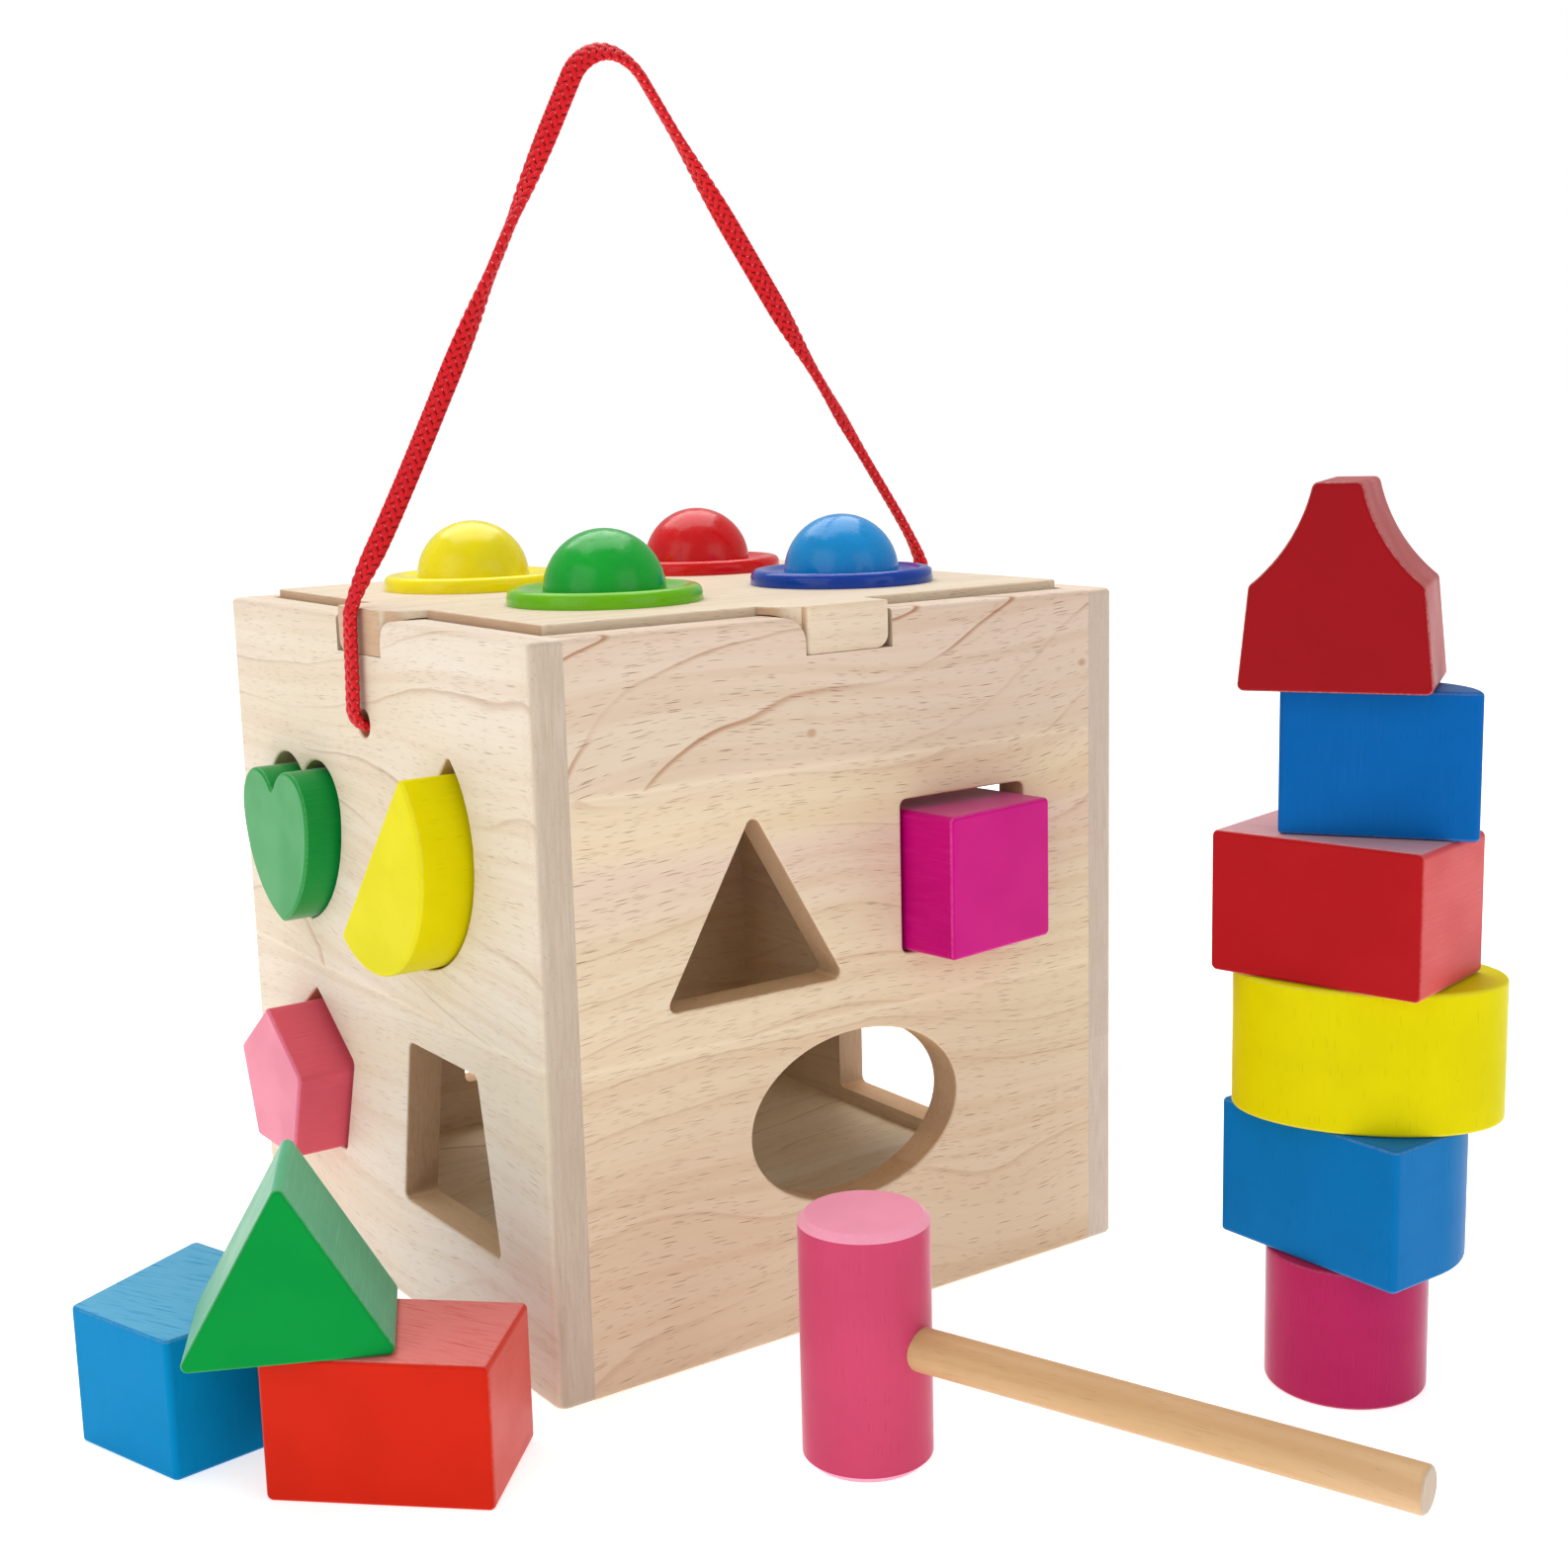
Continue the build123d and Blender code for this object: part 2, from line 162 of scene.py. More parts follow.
def carried_frames(line, first_side):
    """Two directions across the line at each point, turning as little as possible along it."""
    tangents = unit(np.gradient(line, axis=0))
    sides = np.empty_like(line)
    side = np.array(first_side, float)
    for i, tangent in enumerate(tangents):
        side = side - tangent * (side @ tangent)
        side /= np.linalg.norm(side)
        sides[i] = side
    return sides, np.cross(tangents, sides)


def oval_ring(half_width, half_thick, count):
    """Points of an oval, evenly spaced round it: places, outward normals and the length round it."""
    angles = np.linspace(0, 2 * math.pi, OVAL_SAMPLES, endpoint=False)
    oval = np.stack([half_width * np.cos(angles), half_thick * np.sin(angles)], axis=1)
    closed = np.vstack([oval, oval[:1]])
    along = np.concatenate([[0], np.cumsum(np.linalg.norm(np.diff(closed, axis=0), axis=1))])
    at = np.linspace(0, along[-1], count, endpoint=False)
    places = np.stack([np.interp(at, along, closed[:, k]) for k in range(2)], axis=1)
    normals = unit(places / np.array([half_width**2, half_thick**2]))
    return places, normals, along[-1]


def stitches(round_at, along_at, girth):
    """Height of the stitches, from 0 to 1, and each point's place across and along its own stitch."""
    width = girth / COLUMNS
    lean = math.radians(STITCH_LEAN)
    best = np.zeros(np.broadcast(round_at, along_at).shape)
    across_best = np.zeros_like(best)
    along_best = np.zeros_like(best)
    column = np.floor(round_at / width)
    for column_step in (-1, 0, 1):
        own = column + column_step
        odd = np.mod(own, 2)
        sign = 1 - 2 * odd
        du = round_at - (own + 0.5) * width
        row = np.floor(along_at / STITCH_PITCH_MM - odd / 2)
        for row_step in (-1, 0, 1, 2):
            ds = along_at - (row + row_step + odd / 2) * STITCH_PITCH_MM
            across = du * math.cos(lean) + sign * ds * math.sin(lean)
            lengthwise = ds * math.cos(lean) - sign * du * math.sin(lean)
            inside = 1 - (across / STITCH_HALF_WIDTH_MM) ** 2 - (lengthwise / STITCH_HALF_LENGTH_MM) ** 2
            height = np.sqrt(np.clip(inside, 0, 1))
            higher = height > best
            best = np.where(higher, height, best)
            across_best = np.where(higher, across, across_best)
            along_best = np.where(higher, lengthwise, along_best)
    return best, across_best, along_best


def eyelets(round_at, along_at, girth):
    """How far each point is inside one of the eyelets between the columns, from 0 to 1."""
    pair = 2 * girth / COLUMNS
    du = round_at - np.round(round_at / pair) * pair
    ds = along_at - (np.round(along_at / STITCH_PITCH_MM - 0.25) + 0.25) * STITCH_PITCH_MM
    return np.clip(1.4 - np.hypot(du, ds) / EYE_RADIUS_MM, 0, 1)


def braided_tube(line, alongs, twists, size=1.0):
    """Vertices, faces, stitch coordinates and eyelets of a flat braided cord along a line, all in mm."""
    first, second = carried_frames(line, (0, 1, 0))
    places, normals, girth = oval_ring(CORD_HALF_WIDTH_MM, CORD_HALF_THICK_MM, AROUND)
    round_at = np.linspace(0, girth, AROUND, endpoint=False)[None, :]
    height, across, lengthwise = stitches(round_at, alongs[:, None] / size, girth)
    eyes = eyelets(round_at, alongs[:, None] / size, girth)
    lifted = places[None] + normals[None] * (height * STITCH_HEIGHT_MM)[..., None]
    lifted = lifted * size
    turn = np.radians(twists)[:, None]
    flat = np.cos(turn) * lifted[..., 0] - np.sin(turn) * lifted[..., 1]
    deep = np.sin(turn) * lifted[..., 0] + np.cos(turn) * lifted[..., 1]
    # the wide side lies along the second direction when the twist is zero
    vertices = line[:, None] + deep[..., None] * first[:, None] + flat[..., None] * second[:, None]
    rings = len(line)
    ring, spot = np.meshgrid(np.arange(rings - 1), np.arange(AROUND), indexing="ij")
    nearer, further = ring * AROUND, (ring + 1) * AROUND
    following = (spot + 1) % AROUND
    faces = np.stack([nearer + spot, further + spot, further + following, nearer + following], axis=-1)
    faces = [tuple(f) for f in faces.reshape(-1, 4)]
    start_cap = rings * AROUND
    last = (rings - 1) * AROUND
    points = np.vstack([vertices.reshape(-1, 3), line[:1], line[-1:]])
    for i in range(AROUND):
        j = (i + 1) % AROUND
        faces.append((start_cap, i, j))
        faces.append((start_cap + 1, last + j, last + i))
    stitch = np.stack([across, lengthwise, height], axis=-1).reshape(-1, 3)
    return points, faces, np.vstack([stitch, np.zeros((2, 3))]), np.append(eyes.ravel(), (0.0, 0.0))


def mesh_piece(name, points_mm, faces, stitch, eyes, material):
    mesh = bpy.data.meshes.new(name)
    mesh.from_pydata([tuple(p) for p in points_mm * MM], [], faces)
    stitch_places = mesh.attributes.new("stitch", "FLOAT_VECTOR", "POINT")
    stitch_places.data.foreach_set("vector", stitch.astype("f").ravel())
    eyelet_depths = mesh.attributes.new("eyelet", "FLOAT", "POINT")
    eyelet_depths.data.foreach_set("value", eyes.astype("f"))
    mesh.shade_smooth()
    mesh.materials.append(material)
    piece = bpy.data.objects.new(name, mesh)
    bpy.context.scene.collection.objects.link(piece)
    return piece


def make_cord(material):
    line, alongs = evenly(spline_points(CORD_ROUTE_MM), RING_STEP_MM)
    places, turns = zip(*CORD_TWIST)
    twists = np.interp(alongs, places, turns)
    window = np.hanning(2 * TWIST_SMOOTHING + 1)
    padded = np.pad(twists, TWIST_SMOOTHING, mode="edge")
    twists = np.convolve(padded, window / window.sum(), mode="valid")
    cord = mesh_piece("braided_cord", *braided_tube(line, alongs, twists), material)
    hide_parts("carry_cord")
    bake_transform(cord)
    return cord, line, alongs[-1]


# a closed overhand knot: how far the loops reach round and along the cord's line
KNOT_REACH_MM = 1.28
KNOT_DEPTH_MM = 2.2
KNOT_SIZE = 0.68              # the cord pulled thin inside the knot
KNOT_SAMPLES = 240
KNOT_INSET_MM = 4.5           # from the CAD knot's outer side to the middle of the braided one
TAIL_MM = 9.0                 # loose end below each knot
TAIL_TWIST = 30.0             # degrees
TAIL_SIZE = 0.9


def knot_line(side, centre_x):
    """The middle line of one knot: a trefoil about the cord's line, in mm."""
    t = np.linspace(0, 2 * math.pi, KNOT_SAMPLES)
    x = side * KNOT_DEPTH_MM * np.sin(3 * t) + centre_x
    y = KNOT_REACH_MM * (np.sin(t) + 2 * np.sin(2 * t))
    z = KNOT_REACH_MM * (np.cos(t) - 2 * np.cos(2 * t)) + CORD_HOLE_Z_MM
    return np.stack([x, y, z], axis=1)


def make_knots(material):
    """Both knots and their loose ends, as one piece."""
    _, high = (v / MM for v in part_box("cord_knots"))
    centre = high.x - KNOT_INSET_MM
    parts = []
    for side in (-1, 1):
        loop, alongs = evenly(knot_line(side, side * centre), RING_STEP_MM)
        parts.append(braided_tube(loop, alongs, np.zeros(len(loop)), KNOT_SIZE))
        tail = spline_points([
            (side * (centre - 1.0), 0.0, CORD_HOLE_Z_MM - 1.0),
            (side * (centre - 3.6), 0.4, CORD_HOLE_Z_MM - 3.4),
            (side * (centre - 4.4), 0.9, CORD_HOLE_Z_MM - 6.5),
            (side * (centre - 3.8), 1.6, CORD_HOLE_Z_MM - TAIL_MM),
        ])
        tail, alongs = evenly(tail, RING_STEP_MM)
        parts.append(braided_tube(tail, alongs, np.full(len(tail), TAIL_TWIST), TAIL_SIZE))
    points, faces, stitch, eyes, count = [], [], [], [], 0
    for part_points, part_faces, part_stitch, part_eyes in parts:
        points.append(part_points)
        stitch.append(part_stitch)
        eyes.append(part_eyes)
        faces += [tuple(i + count for i in face) for face in part_faces]
        count += len(part_points)
    knots = mesh_piece(
        "stopper_knots", np.vstack(points), faces, np.vstack(stitch), np.concatenate(eyes), material
    )
    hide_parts("cord_knots")
    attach(knots, "box")
    return knots


# ================================================================ node graphs
def colour(red, green, blue):
    """A display colour from 0 to 255 as the linear colour that a shader takes."""
    def linear(value):
        value /= 255
        return value / 12.92 if value <= 0.04045 else ((value + 0.055) / 1.055) ** 2.4
    return (linear(red), linear(green), linear(blue), 1.0)


class Graph:
    """A material being built: each method adds one node and returns the socket that matters."""

    def __init__(self, name):
        self.material = bpy.data.materials.new(name)
        self.material.use_nodes = True
        self.nodes = self.material.node_tree.nodes
        self.links = self.material.node_tree.links
        self.nodes.clear()
        self.shader = self.nodes.new("ShaderNodeBsdfPrincipled")
        output = self.nodes.new("ShaderNodeOutputMaterial")
        self.links.new(self.shader.outputs["BSDF"], output.inputs["Surface"])

    def put(self, socket, value):
        if isinstance(value, bpy.types.NodeSocket):
            self.links.new(value, socket)
        else:
            socket.default_value = value

    def set(self, **values):
        """Sets the shader's sockets; an underscore in a name stands for a space."""
        for name, value in values.items():
            self.put(self.shader.inputs[name.replace("_", " ")], value)

    def math(self, operation, a, b=0.0):
        node = self.nodes.new("ShaderNodeMath")
        node.operation = operation
        self.put(node.inputs[0], a)
        self.put(node.inputs[1], b)
        return node.outputs[0]

    def vector(self, operation, a, b=(0, 0, 0)):
        node = self.nodes.new("ShaderNodeVectorMath")
        node.operation = operation
        self.put(node.inputs[0], a)
        self.put(node.inputs["Scale" if operation == "SCALE" else 1], b)
        return node.outputs["Value" if operation in ("DOT_PRODUCT", "LENGTH") else "Vector"]

    def joined(self, x, y, z):
        node = self.nodes.new("ShaderNodeCombineXYZ")
        for socket, value in zip(node.inputs, (x, y, z)):
            self.put(socket, value)
        return node.outputs[0]

    def parted(self, vector):
        node = self.nodes.new("ShaderNodeSeparateXYZ")
        self.put(node.inputs[0], vector)
        return node.outputs[0], node.outputs[1], node.outputs[2]

    def noise(self, vector, detail=2.0, roughness=0.5, distortion=0.0):
        node = self.nodes.new("ShaderNodeTexNoise")
        self.put(node.inputs["Vector"], vector)
        node.inputs["Scale"].default_value = 1.0
        node.inputs["Detail"].default_value = detail
        node.inputs["Roughness"].default_value = roughness
        node.inputs["Distortion"].default_value = distortion
        return node.outputs["Fac"]

    def cells(self, vector):
        """Distance to the nearest of a cloud of random points, and that point's random number."""
        node = self.nodes.new("ShaderNodeTexVoronoi")
        self.put(node.inputs["Vector"], vector)
        node.inputs["Scale"].default_value = 1.0
        chance = self.parted(node.outputs["Color"])[0]
        return node.outputs["Distance"], chance

    def ramp(self, value, low, high, to_low=0.0, to_high=1.0):
        """Smooth step from to_low to to_high as value goes from low to high."""
        node = self.nodes.new("ShaderNodeMapRange")
        node.interpolation_type = "SMOOTHSTEP"
        for name, number in zip(("From Min", "From Max", "To Min", "To Max"), (low, high, to_low, to_high)):
            self.put(node.inputs[name], number)
        self.put(node.inputs["Value"], value)
        return node.outputs["Result"]

    def bands(self, value, stops):
        """Colours that follow one another as value rises; each stop is a value and a display colour."""
        low, high = stops[0][0], stops[-1][0]
        node = self.nodes.new("ShaderNodeValToRGB")
        self.put(node.inputs["Fac"], self.math("DIVIDE", self.math("SUBTRACT", value, low), high - low))
        elements = node.color_ramp.elements
        elements.remove(elements[1])
        elements[0].color = colour(*stops[0][1])
        for at, shade in stops[1:]:
            elements.new((at - low) / (high - low)).color = colour(*shade)
        return node.outputs["Color"]

    def mix(self, share, a, b):
        node = self.nodes.new("ShaderNodeMix")
        node.data_type = "RGBA"
        node.clamp_factor = True
        self.put(node.inputs["Factor"], share)
        self.put(node.inputs[6], a)
        self.put(node.inputs[7], b)
        return node.outputs[2]

    def bump(self, height, depth_mm, strength):
        node = self.nodes.new("ShaderNodeBump")
        node.inputs["Strength"].default_value = strength
        node.inputs["Distance"].default_value = depth_mm * MM
        self.put(node.inputs["Height"], height)
        return node.outputs["Normal"]

    def place(self):
        """Each point's place on its own piece, in mm."""
        coordinates = self.nodes.new("ShaderNodeTexCoord")
        return self.vector("SCALE", coordinates.outputs["Object"], 1 / MM)

    def facing(self, direction):
        """How squarely the surface faces along a direction, either way: 0 to 1."""
        coordinates = self.nodes.new("ShaderNodeTexCoord")
        share = self.vector("DOT_PRODUCT", coordinates.outputs["Normal"], tuple(direction))
        return self.math("ABSOLUTE", share)

    def grain_space(self, along, up):
        """The point in mm along the grain, up the board and through it."""
        along, up = Vector(along).normalized(), Vector(up)
        up = (up - along * up.dot(along)).normalized()
        place = self.place()
        axes = (along, up, along.cross(up))
        return self.joined(*(self.vector("DOT_PRODUCT", place, tuple(axis)) for axis in axes))


# ================================================================ bare wood
HOLES_REACH_MM = 66           # the holes' walls lie nearer than this to each panel's middle
HOLES_TOP_MM = 141            # and lower than this
RING_MM = 7.5                 # step of the ring pattern: about 14 mm up a board, before the noise bends it
STAVE_SHIFT_MM = (137.0, 31.0, 61.0)  # how far each stave's pattern lies from its neighbour's


def wood(name, along, up, tones, glue_lines=(), knots=(), seed=0.0, ring_show=0.5, pore_show=0.5,
         slope=0.0, end_tone=(205, 188, 168), roughness=0.5, holes=False):
    """Bare rubberwood: staves with glue lines, long growth lines, short fine pores and streaks.
    tones are display colours by height in mm, or one pair that the piece drifts between. glue_lines are
    heights, and each knot a place along, a height and a size, in mm. holes says that the piece has sawn
    openings, whose walls get painted shade: darker and browner, standing in for the shade and warm bounce
    light inside them. The growth lines show fully above the last glue line, where they also climb with the
    given slope, and less below it."""
    g = Graph(name)
    place = g.grain_space(along, up)
    run, height, _ = g.parted(place)
    waver = g.math("MULTIPLY", g.noise(g.joined(g.math("DIVIDE", run, 70.0), seed, 0.0)), 2.4)
    level = g.math("ADD", height, waver)
    stave = 0.0
    glue = 0.0
    for line_level in glue_lines:
        stave = g.math("ADD", stave, g.math("GREATER_THAN", height, line_level))
        off = g.math("ABSOLUTE", g.math("SUBTRACT", height, line_level))
        glue = g.math("ADD", glue, g.ramp(off, 0.1, 0.9, 1.0, 0.0))
    shift = g.vector("SCALE", STAVE_SHIFT_MM, stave) if glue_lines else (0.0, 0.0, 0.0)
    own = g.vector("ADD", g.vector("ADD", place, shift), (seed * 211.0, seed * 17.0, seed * 73.0))
    _, own_up, own_deep = g.parted(own)

    upper = g.math("GREATER_THAN", height, glue_lines[-1] if glue_lines else 0.0)
    sweep = g.noise(g.vector("MULTIPLY", own, (1 / 85, 1 / 60, 1 / 60)), 0.5)
    ripple = g.noise(g.vector("MULTIPLY", own, (1 / 34, 1 / 18, 1 / 18)), 2.0)
    climb = g.math("MULTIPLY", g.math("MULTIPLY", run, upper), -0.55 * slope)
    rippled = g.math("ADD", g.math("MULTIPLY", ripple, 2.2), climb)
    drift = g.math("ADD", g.math("MULTIPLY", sweep, 34.0), rippled)
    level_up = g.math("ADD", g.math("MULTIPLY", own_up, 0.55), g.math("MULTIPLY", own_deep, 0.4))
    distance = g.math("ADD", level_up, drift)
    knot_mark = 0.0
    for knot_run, knot_height, knot_size in knots:
        off_run = g.math("DIVIDE", g.math("SUBTRACT", run, knot_run), knot_size * 1.4)
        off_up = g.math("DIVIDE", g.math("SUBTRACT", height, knot_height), knot_size)
        away = g.vector("LENGTH", g.joined(off_run, off_up, 0.0))
        distance = g.math("ADD", distance, g.ramp(away, 0.5, 7.0, RING_MM * 0.3, 0.0))
        knot_mark = g.math("MAXIMUM", knot_mark, g.ramp(away, 0.3, 1.1, 1.0, 0.0))
    phase = g.math("FRACT", g.math("DIVIDE", distance, RING_MM))
    edge = g.math("MULTIPLY", g.ramp(phase, 0.90, 0.975), g.ramp(phase, 0.975, 1.0, 1.0, 0.0))
    season = g.math("MULTIPLY", g.ramp(phase, 0.25, 0.95), g.ramp(phase, 0.96, 1.0, 1.0, 0.0))
    fade = g.ramp(g.noise(g.vector("MULTIPLY", own, (1 / 90, 1 / 16, 1 / 16)), 1.0), 0.38, 0.6, 0.15, 1.0)
    edge = g.math("MULTIPLY", g.math("MULTIPLY", edge, fade), ring_show)
    edge = g.math("MULTIPLY", edge, g.math("ADD", 0.25, g.math("MULTIPLY", upper, 0.75)))

    grain_shift = g.joined(0.0, g.math("MULTIPLY", sweep, 26.0), g.math("MULTIPLY", ripple, 1.2))
    grain = g.vector("ADD", own, grain_shift)
    fibres = g.noise(g.vector("MULTIPLY", grain, (1 / 30, 1 / 0.45, 1 / 0.45)), 3.0, 0.65)
    streaks = g.noise(g.vector("MULTIPLY", grain, (1 / 140, 1 / 3.2, 1 / 3.2)), 3.0)
    cloud = g.noise(g.vector("MULTIPLY", own, (1 / 90, 1 / 20, 1 / 20)), 2.0)
    crowd = g.ramp(g.noise(g.vector("MULTIPLY", own, (1 / 50, 1 / 7, 1 / 7)), 2.0), 0.32, 0.6, 0.25, 0.95)
    pore = 0.0
    for length_mm, width_mm, strength in ((10.0, 0.36, 1.0), (5.5, 0.25, 0.8)):
        reach, chance = g.cells(g.vector("MULTIPLY", grain, (1 / length_mm, 1 / width_mm, 1 / width_mm)))
        dash = g.math("MULTIPLY", g.ramp(reach, 0.10, 0.26, 1.0, 0.0), g.math("LESS_THAN", chance, crowd))
        dash = g.math("MULTIPLY", dash, g.ramp(chance, 0.0, 1.0, strength, strength * 0.4))
        pore = g.math("MAXIMUM", pore, dash)

    if len(tones) > 2:
        tint = g.bands(level, tones)
    else:
        tint = g.mix(g.ramp(cloud, 0.35, 0.65), colour(*tones[0]), colour(*tones[1]))
    darker = g.vector("MULTIPLY", tint, (0.90, 0.82, 0.74))
    tint = g.mix(g.math("MULTIPLY", season, g.math("MULTIPLY", fade, 0.38 * ring_show)), tint, darker)
    tint = g.mix(g.ramp(streaks, 0.42, 0.68, 0.0, 0.6), tint, darker)
    tint = g.mix(g.ramp(fibres, 0.45, 0.75, 0.0, 0.30), tint, darker)
    tint = g.mix(g.math("MULTIPLY", glue, 0.35), tint, colour(242, 226, 200))
    tint = g.mix(edge, tint, colour(168, 118, 84))
    tint = g.mix(g.math("MULTIPLY", pore, pore_show), tint, colour(134, 86, 60))
    tint = g.mix(g.math("MULTIPLY", knot_mark, 0.6), tint, colour(178, 128, 88))

    end_streaks = g.noise(g.vector("MULTIPLY", own, (1 / 0.6, 1 / 9, 1 / 0.5)), 3.0, 0.6)
    end_specks = g.noise(g.vector("MULTIPLY", own, (1 / 0.5, 1 / 1.2, 1 / 0.4)), 2.0)
    end_dark = g.vector("MULTIPLY", colour(*end_tone)[:3], (0.88, 0.84, 0.80))
    end_colour = g.mix(g.ramp(end_streaks, 0.35, 0.7), colour(*end_tone), end_dark)
    end_colour = g.mix(g.ramp(cloud, 0.35, 0.65, 0.0, 0.5), end_colour, end_dark)
    end_colour = g.mix(g.ramp(end_specks, 0.6, 0.75, 0.0, 0.35), end_colour, colour(160, 126, 102))
    tint = g.mix(g.ramp(g.facing(along), 0.55, 0.9), tint, end_colour)

    if holes:
        # painted shade: the holes' walls darker and browner, standing in for shade and warm bounce light
        # inside them
        hole_wall_shade = g.ramp(g.facing(Vector(along).cross(Vector(up))), 0.3, 0.7, 1.0, 0.0)
        off_middle = g.math("ABSOLUTE", run)
        hole_wall_shade = g.math("MULTIPLY", hole_wall_shade, g.ramp(off_middle, HOLES_REACH_MM, HOLES_REACH_MM + 1, 1.0, 0.0))
        hole_wall_shade = g.math("MULTIPLY", hole_wall_shade, g.ramp(height, HOLES_TOP_MM, HOLES_TOP_MM + 1, 1.0, 0.0))
        tint = g.mix(g.math("MULTIPLY", hole_wall_shade, 0.85), tint, g.vector("MULTIPLY", tint, (0.90, 0.70, 0.50)))

    relief = g.math("SUBTRACT", g.math("MULTIPLY", fibres, 0.4), pore)
    g.set(
        Base_Color=tint,
        Roughness=g.ramp(fibres, 0.3, 0.8, roughness - 0.05, roughness + 0.08),
        Normal=g.bump(relief, 0.06, 0.6),
        Specular_IOR_Level=0.2,
    )
    return g.material


# ================================================================ painted wood
def turned(degrees):
    """The grain of a block that stands on edge: its axis starts along -Y and is turned about Z."""
    angle = math.radians(degrees)
    return (math.sin(angle), -math.cos(angle), 0.0)


X, Y, Z = (1, 0, 0), (0, 1, 0), (0, 0, 1)
TOP_GRAIN = turned(28)        # how the grain runs on top of the blocks in the pile and the tower
PAINT_ROUGHNESS = 0.42


def paint(name, shade, along, side_shade=None, painted_top_sheen=None, wear=0.12, ridge_show=0.5, shine=0.08,
          coat=0.15, sheen=0.5, seed=0.0):
    """Semi-gloss paint on a sawn block. The sawn end faces are smooth; the long-grain sides keep fine ridges,
    and the rims between them are worn a little thinner. A painted_top_sheen is painted sheen on the upward
    face: a paler colour, streaked along the grain, standing in for the glancing reflection there."""
    g = Graph(name)
    up = Z if abs(Vector(along).z) < 0.7 else Y
    place = g.vector("ADD", g.grain_space(along, up), (seed * 91.0, seed * 37.0, seed * 53.0))
    end_face = g.facing(along)
    side = g.ramp(end_face, 0.25, 0.75, 1.0, 0.0)
    rim = g.math("MULTIPLY", g.math("MULTIPLY", end_face, g.math("SUBTRACT", 1.0, end_face)), 4.0)

    fibres = g.noise(g.vector("MULTIPLY", place, (1 / 14.0, 1 / 0.4, 1 / 0.4)), 3.0, 0.6)
    soft = g.noise(g.vector("SCALE", place, 1 / 13.0), 2.0)
    peel = g.noise(g.vector("SCALE", place, 1 / 0.8), 2.0)
    reach, chance = g.cells(g.vector("MULTIPLY", place, (1 / 5.0, 1 / 0.5, 1 / 0.5)))
    pore = g.math("MULTIPLY", g.ramp(reach, 0.12, 0.30, 1.0, 0.0), g.math("LESS_THAN", chance, 0.3))
    pore = g.math("MULTIPLY", pore, side)
    spot_reach, spot_chance = g.cells(g.vector("SCALE", place, 1 / 3.1))
    spot = g.math("MULTIPLY", g.ramp(spot_reach, 0.02, 0.06, 1.0, 0.0), g.math("LESS_THAN", spot_chance, 0.3))

    # side colour and paler ridges: partly thinner paint on the long grain, partly painted sheen on sides seen
    # at a glancing angle
    tint = g.mix(side, colour(*shade), colour(*(side_shade or shade)))
    darker = g.vector("MULTIPLY", tint, (0.82, 0.82, 0.82))
    lighter = g.mix(0.05, g.vector("MULTIPLY", tint, (1.2, 1.2, 1.2)), (1.0, 1.0, 1.0, 1.0))
    tint = g.mix(g.ramp(soft, 0.35, 0.7, 0.0, 0.3), tint, darker)
    tint = g.mix(g.math("MULTIPLY", g.ramp(fibres, 0.5, 0.75, 0.0, ridge_show * 0.4), side), tint, lighter)
    tint = g.mix(g.math("MULTIPLY", pore, 0.6), tint, darker)
    tint = g.mix(g.math("MULTIPLY", spot, 0.6), tint, g.vector("MULTIPLY", darker, (0.7, 0.7, 0.7)))
    # painted sheen: the upward face turns to a paler colour streaked along the grain, standing in for the
    # glancing reflection on it
    if painted_top_sheen:
        top_place = g.vector("MULTIPLY", g.grain_space(TOP_GRAIN, Z), (1 / 9.0, 1 / 0.45, 1 / 0.45))
        top_grain = g.noise(top_place, 3.0, 0.6)
        top_sheen_tint = g.mix(g.ramp(top_grain, 0.5, 0.75, 0.0, 0.8), colour(*painted_top_sheen), tint)
        tint = g.mix(g.ramp(g.facing(Z), 0.75, 0.95), tint, top_sheen_tint)
    worn = g.math("MULTIPLY", g.ramp(rim, 0.5, 0.95), g.ramp(peel, 0.35, 0.65, 0.4 * wear, wear))
    tint = g.mix(worn, tint, g.mix(0.6, tint, colour(240, 220, 210)))

    ridges = g.math("MULTIPLY", fibres, g.math("ADD", g.math("MULTIPLY", side, 0.8), 0.1))
    relief = g.math("ADD", ridges, g.math("MULTIPLY", peel, 0.12))
    relief = g.math("SUBTRACT", relief, g.math("MULTIPLY", g.math("MAXIMUM", pore, spot), 0.5))
    g.set(
        Base_Color=tint,
        Roughness=g.ramp(soft, 0.3, 0.7, PAINT_ROUGHNESS - 0.05, PAINT_ROUGHNESS + 0.07),
        Normal=g.bump(relief, 0.07, 0.6),
        Specular_IOR_Level=shine,
        Coat_Weight=coat,
        Coat_Roughness=0.3,
        Coat_IOR=1.2,
        Sheen_Weight=sheen,
        Sheen_Roughness=0.25,
    )
    return g.material


